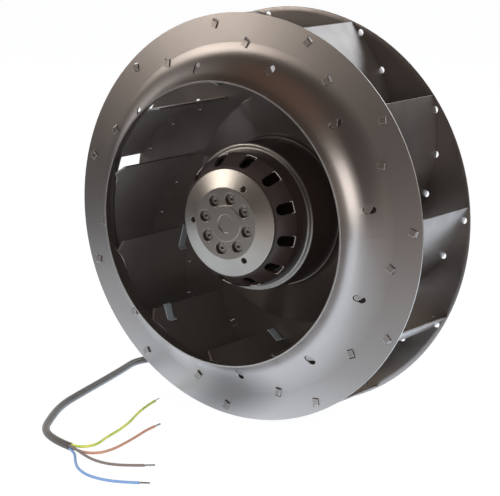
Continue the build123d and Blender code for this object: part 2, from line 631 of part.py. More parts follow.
def shaft():
    groove = REAR_BEARING_AHEAD - CIRCLIP_THICKNESS - PRESS_GAP
    return turned((0, SHAFT_REAR_AHEAD), (SHAFT_RADIUS, SHAFT_REAR_AHEAD), (SHAFT_RADIUS, groove),
                  (CIRCLIP_GROOVE_RADIUS, groove), (CIRCLIP_GROOVE_RADIUS, REAR_BEARING_AHEAD),
                  (SHAFT_RADIUS, REAR_BEARING_AHEAD), (SHAFT_RADIUS, REAR_BEARING_FRONT),
                  (SHAFT_SHOULDER_RADIUS, REAR_BEARING_FRONT), (SHAFT_SHOULDER_RADIUS, FRONT_BEARING_AHEAD),
                  (SHAFT_RADIUS, FRONT_BEARING_AHEAD), (SHAFT_RADIUS, SHAFT_FRONT_AHEAD), (0, SHAFT_FRONT_AHEAD))


def shaft_retaining_ring():
    """The open ring in the shaft's groove, behind the rear bearing."""
    start = REAR_BEARING_AHEAD - CIRCLIP_THICKNESS
    ring = drum(CIRCLIP_RADIUS, CIRCLIP_GROOVE_RADIUS + PRESS_GAP, start, REAR_BEARING_AHEAD)
    mouth = 2 * CIRCLIP_GROOVE_RADIUS * math.sin(math.radians(CIRCLIP_GAP_ANGLE / 2))
    return ring - Pos(0, CIRCLIP_RADIUS, start) * Box(mouth, 2 * CIRCLIP_RADIUS, 4 * CIRCLIP_THICKNESS)


def raceway(ahead):
    return Pos(0, 0, ahead + BEARING_WIDTH / 2) * Torus(BALL_CIRCLE, BALL_RADIUS + RACE_GAP)


def bearing_inner_ring(ahead):
    return drum(INNER_LAND_RADIUS, SHAFT_RADIUS + PRESS_GAP, ahead, ahead + BEARING_WIDTH) - raceway(ahead)


def bearing_outer_ring(ahead):
    return drum(BEARING_RADIUS, OUTER_LAND_RADIUS, ahead, ahead + BEARING_WIDTH) - raceway(ahead)


def bearing_balls(ahead):
    ball = Pos(BALL_CIRCLE, 0, ahead + BEARING_WIDTH / 2) * Sphere(BALL_RADIUS)
    return Compound(around(ball, BALL_COUNT))


def bearing_cage(ahead):
    """The ring that spaces the balls, with a round pocket for each."""
    middle = ahead + BEARING_WIDTH / 2
    ring = drum(BALL_CIRCLE + CAGE_THICKNESS / 2, BALL_CIRCLE - CAGE_THICKNESS / 2,
                middle - CAGE_WIDTH / 2, middle + CAGE_WIDTH / 2)
    pocket = Pos(BALL_CIRCLE, 0, middle) * Rot(0, 90, 0) * Cylinder(BALL_RADIUS + CAGE_GAP, 2 * CAGE_WIDTH)
    return ring - around(pocket, BALL_COUNT)


def bearing_shields(ahead):
    """The two thin covers held in the outer ring."""
    starts = (ahead + SHIELD_INSET, ahead + BEARING_WIDTH - SHIELD_INSET - SHIELD_THICKNESS)
    return Compound([drum(OUTER_LAND_RADIUS - PRESS_GAP, SHIELD_BORE, start, start + SHIELD_THICKNESS)
                     for start in starts])


def preload_spring():
    """A disc spring between the bearing tube's shoulder and the front bearing's outer ring."""
    outer = BEARING_RADIUS - SPRING_INSET
    inner = OUTER_LAND_RADIUS + SPRING_INSET
    rear = FRONT_BEARING_AHEAD - SPRING_SPACE
    front = FRONT_BEARING_AHEAD
    return turned((outer, rear), (outer, rear + SPRING_THICKNESS), (inner, front), (inner, front - SPRING_THICKNESS))


# Stator

def stator_flange():
    """The cast part that carries the fan: mounting boss, ribbed disc, bearing tube and cable outlet."""
    front = FLANGE_REAR_AHEAD + FLANGE_THICKNESS
    seat = BEARING_RADIUS + PRESS_GAP
    lip_outer = ROTOR_RADIUS - ROTOR_WALL - LABYRINTH_GAP
    lip_inner = lip_outer - FLANGE_LIP_THICKNESS
    shoulder = FRONT_BEARING_AHEAD - SPRING_SPACE
    body = turned((seat, CAP_COLLAR_AHEAD), (TUBE_RADIUS, CAP_COLLAR_AHEAD), (TUBE_RADIUS, FLANGE_REAR_AHEAD),
                  (MOUNT_BOSS_BORE, FLANGE_REAR_AHEAD), (MOUNT_BOSS_BORE, 0), (MOUNT_BOSS_RADIUS, 0),
                  (MOUNT_BOSS_RADIUS, FLANGE_REAR_AHEAD), (FLANGE_RADIUS, FLANGE_REAR_AHEAD),
                  (FLANGE_RADIUS, front), (lip_outer, front), (lip_outer, front + FLANGE_LIP_HEIGHT),
                  (lip_inner, front + FLANGE_LIP_HEIGHT), (lip_inner, front), (TUBE_RADIUS, front),
                  (TUBE_RADIUS, FRONT_BEARING_FRONT), (seat, FRONT_BEARING_FRONT), (seat, shoulder),
                  (TUBE_BORE_RADIUS, shoulder), (TUBE_BORE_RADIUS, REAR_BEARING_FRONT), (seat, REAR_BEARING_FRONT))
    hole = Pos(MOUNT_CIRCLE_DIAMETER / 2, 0, MOUNT_HOLE_DEPTH / 2) * Cylinder(MOUNT_HOLE_RADIUS, MOUNT_HOLE_DEPTH)
    body -= around(hole, MOUNT_HOLE_COUNT, 180.0 / MOUNT_HOLE_COUNT)
    rib_length = RIB_END_RADIUS - MOUNT_BOSS_RADIUS + RIB_WIDTH
    rib = Pos(RIB_END_RADIUS - rib_length / 2, 0, FLANGE_REAR_AHEAD) * Box(rib_length, RIB_WIDTH, 2 * RIB_HEIGHT)
    boss = outlet_place() * drum(OUTLET_BOSS_RADIUS, 0, -OUTLET_BOSS_LENGTH, 0)
    body = body + around(rib, RIB_COUNT, 180.0 / RIB_COUNT) + (boss & drum(2 * FLANGE_RADIUS, 0, 0, front))
    relief_seat = outlet_place() * drum(RELIEF_SEAT_RADIUS, 0, -RELIEF_SEAT_DEPTH, PAST)
    lead_way = outlet_place() * drum(LEAD_HOLE_RADIUS, 0, -OUTLET_BOSS_LENGTH, 0)
    inner_end = outlet_point(LEAD_HOLE_RADIUS - OUTLET_BOSS_LENGTH)
    return body - relief_seat - lead_way - Pos(inner_end) * drum(LEAD_HOLE_RADIUS, 0, 0, FLANGE_THICKNESS)


def rear_bore_cap():
    """The dished cap that closes the bearing bore behind the shaft."""
    rear = CAP_COLLAR_AHEAD + BORE_CAP_INSET
    outer = BEARING_RADIUS
    dish = outer - 2 * BORE_CAP_THICKNESS
    return turned((0, rear), (dish, rear), (dish, rear - BORE_CAP_INSET), (outer, rear - BORE_CAP_INSET),
                  (outer, rear + BORE_CAP_THICKNESS), (0, rear + BORE_CAP_THICKNESS))


def slot_cutter(width, mouth):
    """One winding slot, drawn in plan, with its mouth at the air gap."""
    length = SLOT_TOP_RADIUS - SLOT_BOTTOM_RADIUS
    body = Pos(SLOT_BOTTOM_RADIUS + length / 2, 0) * Rectangle(length, width)
    opening = Pos(STATOR_RADIUS, 0) * Rectangle(3 * (STATOR_RADIUS - SLOT_TOP_RADIUS), mouth)
    return extrude(body + opening, ROTOR_FACE_AHEAD)


def stator_core():
    core = drum(STATOR_RADIUS, TUBE_RADIUS + SEAT_GAP, CORE_REAR_AHEAD, CORE_REAR_AHEAD + CORE_LENGTH)
    return core - around(slot_cutter(SLOT_WIDTH, SLOT_MOUTH), SLOT_COUNT)


def insulator(start, end, wall_end):
    """A slotted ring on the stator's end, with a wall that holds the end turns."""
    low, high = min(start, end), max(start, end)
    ring = drum(STATOR_RADIUS - COIL_CLEARANCE, TUBE_RADIUS + SEAT_GAP, low, high)
    ring -= around(slot_cutter(SLOT_WIDTH, SLOT_MOUTH), SLOT_COUNT)
    wall_low, wall_high = min(start, wall_end), max(start, wall_end)
    inner = END_TURN_INNER_RADIUS - COIL_CLEARANCE
    return ring + drum(inner, inner - INSULATOR_THICKNESS, wall_low, wall_high)


def rear_insulator():
    start = CORE_REAR_AHEAD
    end = start - INSULATOR_THICKNESS
    return insulator(start, end, end - END_TURN_HEIGHT)


def front_insulator():
    start = CORE_REAR_AHEAD + CORE_LENGTH
    end = start + INSULATOR_THICKNESS
    return insulator(start, end, end + END_TURN_HEIGHT)


def end_turns(low):
    ring = drum(END_TURN_OUTER_RADIUS, END_TURN_INNER_RADIUS, low, low + END_TURN_HEIGHT)
    return fillet(ring.edges().filter_by(GeomType.CIRCLE), END_TURN_ROUND)


def stator_windings():
    """The copper: one bar in each slot, joined by the end turns."""
    rear = CORE_REAR_AHEAD - INSULATOR_THICKNESS
    front = CORE_REAR_AHEAD + CORE_LENGTH + INSULATOR_THICKNESS
    length = SLOT_TOP_RADIUS - SLOT_BOTTOM_RADIUS - 2 * COIL_CLEARANCE
    bar = Pos(SLOT_BOTTOM_RADIUS + COIL_CLEARANCE + length / 2, 0, (rear + front) / 2) * Box(
        length, SLOT_WIDTH - 2 * COIL_CLEARANCE, front - rear + END_TURN_HEIGHT)
    return end_turns(rear - END_TURN_HEIGHT) + end_turns(front) + around(bar, SLOT_COUNT)


def thermal_cutout():
    """The small temperature switch tied on the front end turns."""
    top = CORE_REAR_AHEAD + CORE_LENGTH + INSULATOR_THICKNESS + END_TURN_HEIGHT
    block = Pos(*polar(CUTOUT_RADIUS, CUTOUT_ANGLE), top + CUTOUT_SIZE[2] / 2) * Box(*CUTOUT_SIZE)
    return fillet(block.edges().filter_by(Axis.Z), CUTOUT_SIZE[2] / 4)


# Cable

def outlet_place():
    """A plane on the cable outlet's face, with Z along the way the cable leaves."""
    lean = math.radians(OUTLET_TILT)
    flat = polar(math.cos(lean), OUTLET_ANGLE)
    return Plane(origin=(*polar(OUTLET_RADIUS, OUTLET_ANGLE), OUTLET_AHEAD), z_dir=(*flat, -math.sin(lean)))


def outlet_point(distance):
    """A point on the outlet's axis, at a distance out from its face."""
    place = outlet_place()
    return place.origin + place.z_dir * distance


def cable_strain_relief():
    """A tapered sleeve around the cable, seated in the outlet, with grooves that let it bend."""
    bore = SHEATH_DIAMETER / 2 + SEAT_GAP
    seat = RELIEF_SEAT_RADIUS - SEAT_GAP
    sleeve = turned((bore, -RELIEF_SEAT_DEPTH), (seat, -RELIEF_SEAT_DEPTH), (seat, 0), (RELIEF_BASE_RADIUS, 0),
                    (RELIEF_BASE_RADIUS, RELIEF_GROOVE_STEP), (RELIEF_TIP_RADIUS, RELIEF_LENGTH), (bore, RELIEF_LENGTH))
    taper = (RELIEF_BASE_RADIUS - RELIEF_TIP_RADIUS) / (RELIEF_LENGTH - RELIEF_GROOVE_STEP)
    for i in range(RELIEF_GROOVES):
        start = RELIEF_FIRST_GROOVE + RELIEF_GROOVE_STEP * i
        floor = RELIEF_BASE_RADIUS - taper * (start - RELIEF_GROOVE_STEP) - RELIEF_GROOVE_DEPTH
        sleeve -= drum(2 * RELIEF_BASE_RADIUS, floor, start, start + RELIEF_GROOVE_WIDTH)
    return outlet_place() * sleeve


def sheath_route():
    """The cable from its outlet down to the surface, round the impeller's lower left and forward."""
    return [outlet_point(-RELIEF_SEAT_DEPTH), outlet_point(FIRST_RUN)] + [Vector(*point) for point in (
        (-92, -148, -12), (-124, -186, -26), (-160, ON_FLOOR, -36), (-197, ON_FLOOR, -32),
        (-219, ON_FLOOR, -2), (-213, ON_FLOOR, 42), (-199, ON_FLOOR, 88), (-185, ON_FLOOR, 137),
        (-169, ON_FLOOR, 185), (-146, ON_FLOOR, 230), (-124, ON_FLOOR, 266), (-91, ON_FLOOR, 287),
        (-68, ON_FLOOR, 293))]


def core_start(side, up):
    """A conductor's start on the sheath's end face, offset sideways and up from its middle."""
    route = sheath_route()
    way = (route[-1] - route[-2]).normalized()
    sideways = Vector(way.Z, 0, -way.X)
    return route[-1] + sideways * (side * CORE_OFFSET) + Vector(0, up * CORE_OFFSET, 0)


def earth_route():
    low = CORE_ON_FLOOR
    return [core_start(1, 1)] + [Vector(*point) for point in (
        (-58.5, -196.5, 294), (-50.5, -196.5, 287), (-52, -198, 271), (-62, -199.5, 247), (-70, low, 216),
        (-80, low, 186), (-93, low, 157), (-102, low, 130), (-106, low, 112))]


def brown_route():
    low = CORE_ON_FLOOR
    return [core_start(1, -1)] + [Vector(*point) for point in (
        (-57, low, 293.5), (-46, low, 293), (-37, low, 286), (-35, low, 268), (-39, low, 243),
        (-44, low, 219), (-49, low, 199), (-50, low, 186))]


def black_route():
    low = CORE_ON_FLOOR
    return [core_start(-1, 1)] + [Vector(*point) for point in (
        (-56, -197.5, 298.5), (-43, -199, 304), (-27, low, 308), (-8, low, 309), (8, low, 302), (20, low, 293))]


def blue_route():
    low = CORE_ON_FLOOR
    return [core_start(-1, -1)] + [Vector(*point) for point in (
        (-59, low, 299), (-50, low, 308), (-39, low, 321), (-24, low, 336), (-4, low, 347), (16, low, 349),
        (33, low, 345), (48, low, 337))]


def cord(name, route, diameter):
    """A tube of straight runs joined by the largest tangent arcs that the runs allow."""
    radii = []
    for before, here, after in zip(route, route[1:], route[2:]):
        shorter = min((here - before).length, (after - here).length)
        turn = (here - before).get_angle(after - here)
        radii.append(RUN_SHARE * shorter / math.tan(math.radians(turn / 2)))
    path = FilletPolyline(*route, radius=radii)
    section = Plane(origin=path @ 0, z_dir=path % 0) * Circle(diameter / 2)
    tube = sweep(section, path)
    print(name, "radii", [round(radius, 1) for radius in radii])
    print(name, "length", round(path.length, 1), "volume ratio",
          round(tube.volume / (path.length * math.pi * diameter ** 2 / 4), 4))
    return tube


def conductor_end_sleeves():
    """The crimped sleeve on the end of each conductor."""
    sleeves = []
    for route in (earth_route(), brown_route(), black_route(), blue_route()):
        place = Plane(origin=route[-1], z_dir=route[-1] - route[-2])
        sleeves.append(place * drum(SLEEVE_RADIUS, 0, 0, SLEEVE_LENGTH))
    return Compound(sleeves)


os.makedirs("parts", exist_ok=True)

template = blade()
for number in range(1, BLADE_COUNT + 1):
    save(f"blade_{number:02d}", Rot(0, 0, blade_angle(number)) * template)
save("front_shroud", front_shroud())
save("back_plate", back_plate())
save("balance_clips", Compound([balance_clip(*place) for place in CLIP_PLACES]))
save("rotor_shell", rotor_shell())
save("hub_disc", hub_disc())
save("hub_screws", hub_screws())
save("rotor_core", rotor_core())
save("rotor_cage", rotor_cage())
save("shaft", shaft())
save("shaft_retaining_ring", shaft_retaining_ring())
for side, ahead in (("rear", REAR_BEARING_AHEAD), ("front", FRONT_BEARING_AHEAD)):
    save(f"{side}_bearing_inner_ring", bearing_inner_ring(ahead))
    save(f"{side}_bearing_outer_ring", bearing_outer_ring(ahead))
    save(f"{side}_bearing_balls", bearing_balls(ahead))
    save(f"{side}_bearing_cage", bearing_cage(ahead))
    save(f"{side}_bearing_shields", bearing_shields(ahead))
save("preload_spring", preload_spring())
save("stator_flange", stator_flange())
save("rear_bore_cap", rear_bore_cap())
save("stator_core", stator_core())
save("rear_insulator", rear_insulator())
save("front_insulator", front_insulator())
save("stator_windings", stator_windings())
save("thermal_cutout", thermal_cutout())
save("cable_strain_relief", cable_strain_relief())
save("cable_sheath", cord("cable_sheath", sheath_route(), SHEATH_DIAMETER))
save("conductor_earth", cord("conductor_earth", earth_route(), CORE_DIAMETER))
save("conductor_brown", cord("conductor_brown", brown_route(), CORE_DIAMETER))
save("conductor_black", cord("conductor_black", black_route(), CORE_DIAMETER))
save("conductor_blue", cord("conductor_blue", blue_route(), CORE_DIAMETER))
save("conductor_end_sleeves", conductor_end_sleeves())
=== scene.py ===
import math

import bpy
from mathutils import Matrix, Vector


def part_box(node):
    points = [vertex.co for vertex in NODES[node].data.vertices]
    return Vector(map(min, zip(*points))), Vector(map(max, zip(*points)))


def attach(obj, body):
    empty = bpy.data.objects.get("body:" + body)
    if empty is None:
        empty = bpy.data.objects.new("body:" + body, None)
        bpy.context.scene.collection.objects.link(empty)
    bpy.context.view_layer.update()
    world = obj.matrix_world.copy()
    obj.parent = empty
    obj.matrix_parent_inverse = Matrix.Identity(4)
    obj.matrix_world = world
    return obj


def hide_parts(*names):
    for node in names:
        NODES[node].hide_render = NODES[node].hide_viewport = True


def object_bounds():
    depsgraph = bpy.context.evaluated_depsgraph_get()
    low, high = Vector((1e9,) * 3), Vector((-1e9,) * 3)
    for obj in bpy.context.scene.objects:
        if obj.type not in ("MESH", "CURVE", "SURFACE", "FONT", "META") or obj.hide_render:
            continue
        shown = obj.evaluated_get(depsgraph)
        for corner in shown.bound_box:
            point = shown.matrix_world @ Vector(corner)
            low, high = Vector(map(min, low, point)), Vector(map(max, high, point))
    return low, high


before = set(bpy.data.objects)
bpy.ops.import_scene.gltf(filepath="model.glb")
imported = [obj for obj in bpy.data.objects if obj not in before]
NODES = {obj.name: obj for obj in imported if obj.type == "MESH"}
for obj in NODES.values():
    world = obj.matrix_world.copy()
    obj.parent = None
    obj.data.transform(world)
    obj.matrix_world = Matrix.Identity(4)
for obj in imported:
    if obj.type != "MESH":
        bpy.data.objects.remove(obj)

# The plug fan's visual model. Lengths are in metres. The inlet looks towards -Y, Z is up, and
# the motor's mounting face is the plane Y = 0.

CAD_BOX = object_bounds()
MM = 0.001
MICRON = 0.000001
BLADE_NODES = sorted(name for name in NODES if name.startswith("blade_"))

# Camera: where the photographer stood, and how long the lens is
VIEW_AZIMUTH = 34.735
VIEW_ELEVATION = 11.255
VIEW_ROLL = 0.313
VIEW_DISTANCE = 2.0767
VIEW_AIM = Vector((0.0, -0.015, 0.0))
VIEW_ASIDE = -0.04598
VIEW_RAISED = -0.04283
LENS_PIXELS = 2043.1
PHOTO_WIDTH = 500.0
SENSOR = 36.0

# The floor under the fan, the cords' thicknesses, and how finely cords and sleeves are drawn
FLOOR = CAD_BOX[0].z
SHEATH = 0.0075
CORE = 0.0026
SHEATH_LOW = FLOOR + SHEATH / 2
CORE_LOW = FLOOR + CORE / 2
SPLINE_ORDER = 3
SPLINE_STEPS = 12
CORD_ROUNDNESS = 6

SLEEVE_LENGTH = 0.010
SLEEVE_RADIUS = 0.00095
SLEEVE_SIDES = 20

# An end sleeve's steps: how far along it each ends, and its width there as a share of the full width
SLEEVE_STEPS = ((0.30, 1.0), (0.34, 0.86), (0.46, 0.86), (0.50, 1.0), (0.62, 1.0), (0.66, 0.86),
                (0.78, 0.86), (0.82, 1.0), (0.97, 1.0), (1.0, 0.8))

# Where the shroud's cut edges, which get a painted highlight, begin: a radius at the rim, and a place ahead
# at the eye
RIM_EDGE = CAD_BOX[1].x - 0.3 * MM
EYE_EDGE = -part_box("front_shroud")[0].y - 0.3 * MM

# The blades' front tabs, whose edges get a painted highlight, lie further out and further ahead than this
TABS_REACH = 142.0 * MM
TABS_AHEAD = 98.0 * MM

# The bell's turned shoulder ring, and the outer ends of its vents, whose sharp edges get a painted highlight
SHOULDER_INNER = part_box("rotor_shell")[1].x - 5.9 * MM
SHOULDER_AHEAD = 93.7 * MM
VENT_END_RADIUS = 64.6 * MM

# The earth conductor's stripes: their turns along it, and the yellow one's share of the way round
STRIPE_TURNS = 5.0
YELLOW_SHARE = 0.6

# Noise: where its values mostly lie, and the detail of a fine one
NOISE_SPAN = (0.3, 0.7)
FINE = 3.0

# Plain surfaces: how many grains wide their patches of colour and roughness are, and their bump
METAL_PATCH = 12
MOULDED_PATCH = 10
ROUGH_PATCH = 3
GRAIN_STRENGTH = 0.6

# Corners: the usual rounding, the cosine below which a turn is an edge, and the rays each takes
SMALL_ROUND = 0.3 * MM
EDGE_TURN = 0.9
EDGE_RAYS = 8
ROUND_RAYS = 14


# Nodes and materials

def linear(hex_colour):
    """A linear colour from an sRGB hex string."""
    channels = [int(hex_colour[i:i + 2], 16) / 255 for i in (1, 3, 5)]
    return tuple(c / 12.92 if c <= 0.04045 else ((c + 0.055) / 1.055) ** 2.4 for c in channels) + (1.0,)


def add_node(tree, kind, inputs=None, **settings):
    """Adds a node, sets its settings, and fills its inputs with values or links."""
    node = tree.nodes.new(kind)
    for name, value in settings.items():
        setattr(node, name, value)
    for name, value in (inputs or {}).items():
        if isinstance(value, bpy.types.NodeSocket):
            tree.links.new(value, node.inputs[name])
        else:
            node.inputs[name].default_value = value
    return node


def empty_tree(owner):
    """The cleared node tree of a material or a world."""
    owner.use_nodes = True
    owner.node_tree.nodes.clear()
    return owner.node_tree


def new_material(name):
    """An empty material with its node tree and its shader."""
    material = bpy.data.materials.new(name)
    tree = empty_tree(material)
    shader = add_node(tree, "ShaderNodeBsdfPrincipled")
    add_node(tree, "ShaderNodeOutputMaterial", {"Surface": shader.outputs["BSDF"]})
    return material, tree, shader


def place(tree):
    """The object's own coordinates, in metres."""
    return add_node(tree, "ShaderNodeTexCoord").outputs["Object"]


def split(tree, vector):
    """The X, Y and Z of a vector."""
    return add_node(tree, "ShaderNodeSeparateXYZ", {"Vector": vector}).outputs


def distance(tree, where, spot):
    """How far a point is from a spot, in metres."""
    return add_node(tree, "ShaderNodeVectorMath", {0: where, 1: spot}, operation="DISTANCE").outputs["Value"]


def maths(tree, operation, *values):
    """One step of arithmetic on numbers or links."""
    return add_node(tree, "ShaderNodeMath", dict(enumerate(values)), operation=operation).outputs["Value"]


def above(tree, value, limit):
    """One where a value is above a limit, and nought elsewhere."""
    return maths(tree, "GREATER_THAN", value, limit)


def ramp(tree, value, span, low=0.0, high=1.0):
    """A value that runs from low to high as another one runs along a span, and stays level past it."""
    return add_node(tree, "ShaderNodeMapRange", {"Value": value, "From Min": span[0], "From Max": span[1],
                                                 "To Min": low, "To Max": high}).outputs["Result"]


def mix(tree, factor, first, second):
    """A mix of two linear colours or links by a factor."""
    return add_node(tree, "ShaderNodeMix", {0: factor, 6: first, 7: second}, data_type="RGBA").outputs[2]


def mix_shaders(tree, factor, first, second):
    """A mix of two shaders by a factor."""
    return add_node(tree, "ShaderNodeMixShader", {"Fac": factor, 1: first, 2: second}).outputs["Shader"]


def reach_and_ahead(tree, where):
    """How far a point is from the turning axis, and how far ahead of the mounting face it lies."""
    parts = split(tree, where)
    flat = add_node(tree, "ShaderNodeCombineXYZ", {"X": parts["X"], "Y": parts["Z"]})
    reach = add_node(tree, "ShaderNodeVectorMath", {0: flat.outputs["Vector"]}, operation="LENGTH")
    return reach.outputs["Value"], maths(tree, "MULTIPLY", parts["Y"], -1.0)


def cut_edge(tree, width):
    """One along sharp corners, so many metres wide, and nought elsewhere."""
    rounded = add_node(tree, "ShaderNodeBevel", {"Radius": width}, samples=EDGE_RAYS)
    sharp = add_node(tree, "ShaderNodeNewGeometry")
    turn = add_node(tree, "ShaderNodeVectorMath", {0: rounded.outputs["Normal"], 1: sharp.outputs["Normal"]},
                    operation="DOT_PRODUCT")
    return maths(tree, "LESS_THAN", turn.outputs["Value"], EDGE_TURN)


def noise(tree, where, grain, detail=2.0):
    """Noise whose grains are about so many metres across."""
    return add_node(tree, "ShaderNodeTexNoise", {"Vector": where, "Scale": 1.0 / grain,
                                                 "Detail": detail}).outputs["Fac"]


def colours(tree, factor, first, second):
    """A mix of two sRGB colours by a factor."""
    return mix(tree, factor, linear(first), linear(second))


def paint(tree, shader, colour):
    """Gives a shader its colour."""
    tree.links.new(colour, shader.inputs["Base Color"])


def roughen(tree, shader, where, grain, low, high):
    """Roughness that runs from low to high in patches about so many metres across."""
    tree.links.new(ramp(tree, noise(tree, where, grain), NOISE_SPAN, low, high), shader.inputs["Roughness"])


def bump(tree, shader, height, depth, strength, edge):
    """Bump of a real depth in metres, on corners rounded by the edge's radius."""
    corner = add_node(tree, "ShaderNodeBevel", {"Radius": edge}, samples=ROUND_RAYS).outputs["Normal"]
    grain = add_node(tree, "ShaderNodeBump", {"Height": height, "Distance": depth, "Strength": strength,
                                              "Normal": corner})
    tree.links.new(grain.outputs["Normal"], shader.inputs["Normal"])


def sheet_coat():
    """Bronze-grey metallic coat on formed sheet steel: satin and brownish, with a fine rolled grain.
    On the edges of the blades' folded front tabs, which catch the light, a paler colour is a painted
    highlight."""
    material, tree, shader = new_material("metallic_coated_sheet")
    where = place(tree)
    radius, ahead = reach_and_ahead(tree, where)
    shader.inputs["Metallic"].default_value = 0.88
    coat = colours(tree, noise(tree, where, 50 * MM, FINE), "#8b837e", "#958d88")
    tabs = maths(tree, "MULTIPLY", above(tree, ahead, TABS_AHEAD), above(tree, radius, TABS_REACH))
    # Painted highlight: a pale colour on the sharp edges of the front tabs
    painted_highlight = maths(tree, "MULTIPLY", cut_edge(tree, 1.1 * MM), tabs)
    paint(tree, shader, mix(tree, painted_highlight, coat, linear("#dbd6cf")))
    roughen(tree, shader, where, 20 * MM, 0.29, 0.37)
    bump(tree, shader, noise(tree, where, 1.6 * MM), depth=6 * MICRON, strength=0.5, edge=0.5 * MM)
    return material


def spun_coat():
    """The same coat on the spun shroud: turning marks draw the highlights out along its radii,
    and a paler colour on the cut edges at the rim and the eye is a painted highlight."""
    material, tree, shader = new_material("metallic_coated_spinning")
    where = place(tree)
    radius, ahead = reach_and_ahead(tree, where)
    shader.inputs["Metallic"].default_value = 0.95
    shader.inputs["Anisotropic"].default_value = 0.4
    turning = add_node(tree, "ShaderNodeTangent", direction_type="RADIAL", axis="Y")
    tree.links.new(turning.outputs["Tangent"], shader.inputs["Tangent"])
    coat = colours(tree, noise(tree, where, 60 * MM, FINE), "#9b938e", "#a59d98")
    # Painted highlight: a paler colour on the cut edges at the rim and the eye
    painted_highlight = maths(tree, "MAXIMUM", above(tree, radius, RIM_EDGE), above(tree, ahead, EYE_EDGE))
    paint(tree, shader, mix(tree, painted_highlight, coat, linear("#c2bdb7")))
    roughen(tree, shader, where, 50 * MM, 0.295, 0.315)
    bump(tree, shader, noise(tree, where, 1.6 * MM), depth=1.5 * MICRON, strength=0.4, edge=0.5 * MM)
    return material


def black_casting():
    """Black paint on the die-cast bell: nearly black and satin, with a fine cast grain. The ring
    round its shoulder is turned bare and bright, and the sharp edges at the vents' outer ends are near
    white: bare metal with a painted highlight."""
    material, tree, shader = new_material("painted_casting")
    where = place(tree)
    radius, ahead = reach_and_ahead(tree, where)
    ring = maths(tree, "MULTIPLY", above(tree, radius, SHOULDER_INNER), above(tree, ahead, SHOULDER_AHEAD))
    # Painted highlight: near white on the sharp edges at the vents' outer ends, over bare metal
    burrs_and_glint = maths(tree, "MULTIPLY", cut_edge(tree, 1.6 * MM), above(tree, radius, VENT_END_RADIUS))
    coat = colours(tree, noise(tree, where, 20 * MM, FINE), "#332b29", "#3d3431")
    turned = mix(tree, ring, coat, linear("#aaa59f"))
    paint(tree, shader, mix(tree, burrs_and_glint, turned, linear("#e9e5de")))
    tree.links.new(ring, shader.inputs["Metallic"])
    roughen(tree, shader, where, 4 * MM, 0.30, 0.38)
    corner = ramp(tree, ring, (0.0, 1.0), 0.6 * MM, 3.2 * MM)
    bump(tree, shader, noise(tree, where, 1.2 * MM, FINE), depth=12 * MICRON, strength=0.5, edge=corner)
    return material


def grey_lacquer():
    """Silver-grey lacquer on the turned hub disc: satin and metallic, with a fine turned grain."""
    material, tree, shader = new_material("silver_lacquer")
    where = place(tree)
    paint(tree, shader, colours(tree, noise(tree, where, 12 * MM, FINE), "#b2aba3", "#bcb5ad"))
    shader.inputs["Metallic"].default_value = 0.95
    roughen(tree, shader, where, 30 * MM, 0.285, 0.295)
    bump(tree, shader, noise(tree, where, 1.0 * MM, FINE), depth=1.5 * MICRON, strength=0.5, edge=0.6 * MM)
    return material


def zinc_flake():
    """Zinc flake coat on the balance clips: half metal and half matt, pale and cool, so the clips
    stand out inside the dark fan. A near-white colour on their sharp edges is a painted highlight."""
    material, tree, shader = new_material("zinc_flake_coat")
    where = place(tree)
    coat = colours(tree, noise(tree, where, 8 * MM), "#98a4aa", "#a6b2b7")
    # Painted highlight: near white on the clips' sharp edges
    paint(tree, shader, mix(tree, cut_edge(tree, 0.8 * MM), coat, linear("#f4fafc")))
    shader.inputs["Metallic"].default_value = 0.45
    roughen(tree, shader, where, 3 * MM, 0.38, 0.46)
    bump(tree, shader, noise(tree, where, 0.8 * MM), depth=10 * MICRON, strength=0.5, edge=SMALL_ROUND)
    return material


def metal(name, tones, roughness, grain, depth, edge=SMALL_ROUND):
    """A bare metal with a colour that varies a little and a surface of a real grain and depth."""
    material, tree, shader = new_material(name)
    where = place(tree)
    shader.inputs["Metallic"].default_value = 1.0
    paint(tree, shader, colours(tree, noise(tree, where, METAL_PATCH * grain, FINE), *tones))
    roughen(tree, shader, where, ROUGH_PATCH * grain, *roughness)
    bump(tree, shader, noise(tree, where, grain, FINE), depth, GRAIN_STRENGTH, edge)
    return material


def moulded(name, tones, roughness, grain, depth):
    """A plastic, rubber or varnish with a colour that varies a little and a fine moulded grain."""
    material, tree, shader = new_material(name)
    where = place(tree)
    paint(tree, shader, colours(tree, noise(tree, where, MOULDED_PATCH * grain, FINE), *tones))
    roughen(tree, shader, where, ROUGH_PATCH * grain, *roughness)
    bump(tree, shader, noise(tree, where, grain, FINE), depth, GRAIN_STRENGTH, SMALL_ROUND)
    return material


def spring_steel():
    """Rolled and hardened strip: grey, cool and bright, with a fine rolled grain."""
    return metal("rolled_spring_steel", tones=("#b9bcbe", "#c6c9cb"), roughness=(0.30, 0.40),
                 grain=0.8 * MM, depth=10 * MICRON)


def ground_steel():
    """Ground bearing steel: the smoothest and brightest metal here."""
    return metal("ground_steel", tones=("#a5a5a3", "#b3b3b0"), roughness=(0.16, 0.26),
                 grain=0.6 * MM, depth=10 * MICRON)


def zinc_plate():
    """Zinc on the hub screws: grey, slightly brown, with bright corners round the sockets."""
    return metal("zinc_plated_steel", tones=("#b4aea7", "#c2bcb4"), roughness=(0.22, 0.30),
                 grain=0.8 * MM, depth=10 * MICRON)


def cast_aluminium():
    """Bare die-cast aluminium of the flange: light grey and dull, with a visible cast grain."""
    return metal("cast_aluminium", tones=("#9c9d9d", "#aaaaab"), roughness=(0.36, 0.48),
                 grain=1.4 * MM, depth=60 * MICRON)


def stamped_iron():
    """Edges of stamped core sheets: dark grey, a little rough."""
    return metal("stamped_iron", tones=("#6b6b6d", "#77777a"), roughness=(0.34, 0.46),
                 grain=0.8 * MM, depth=30 * MICRON)


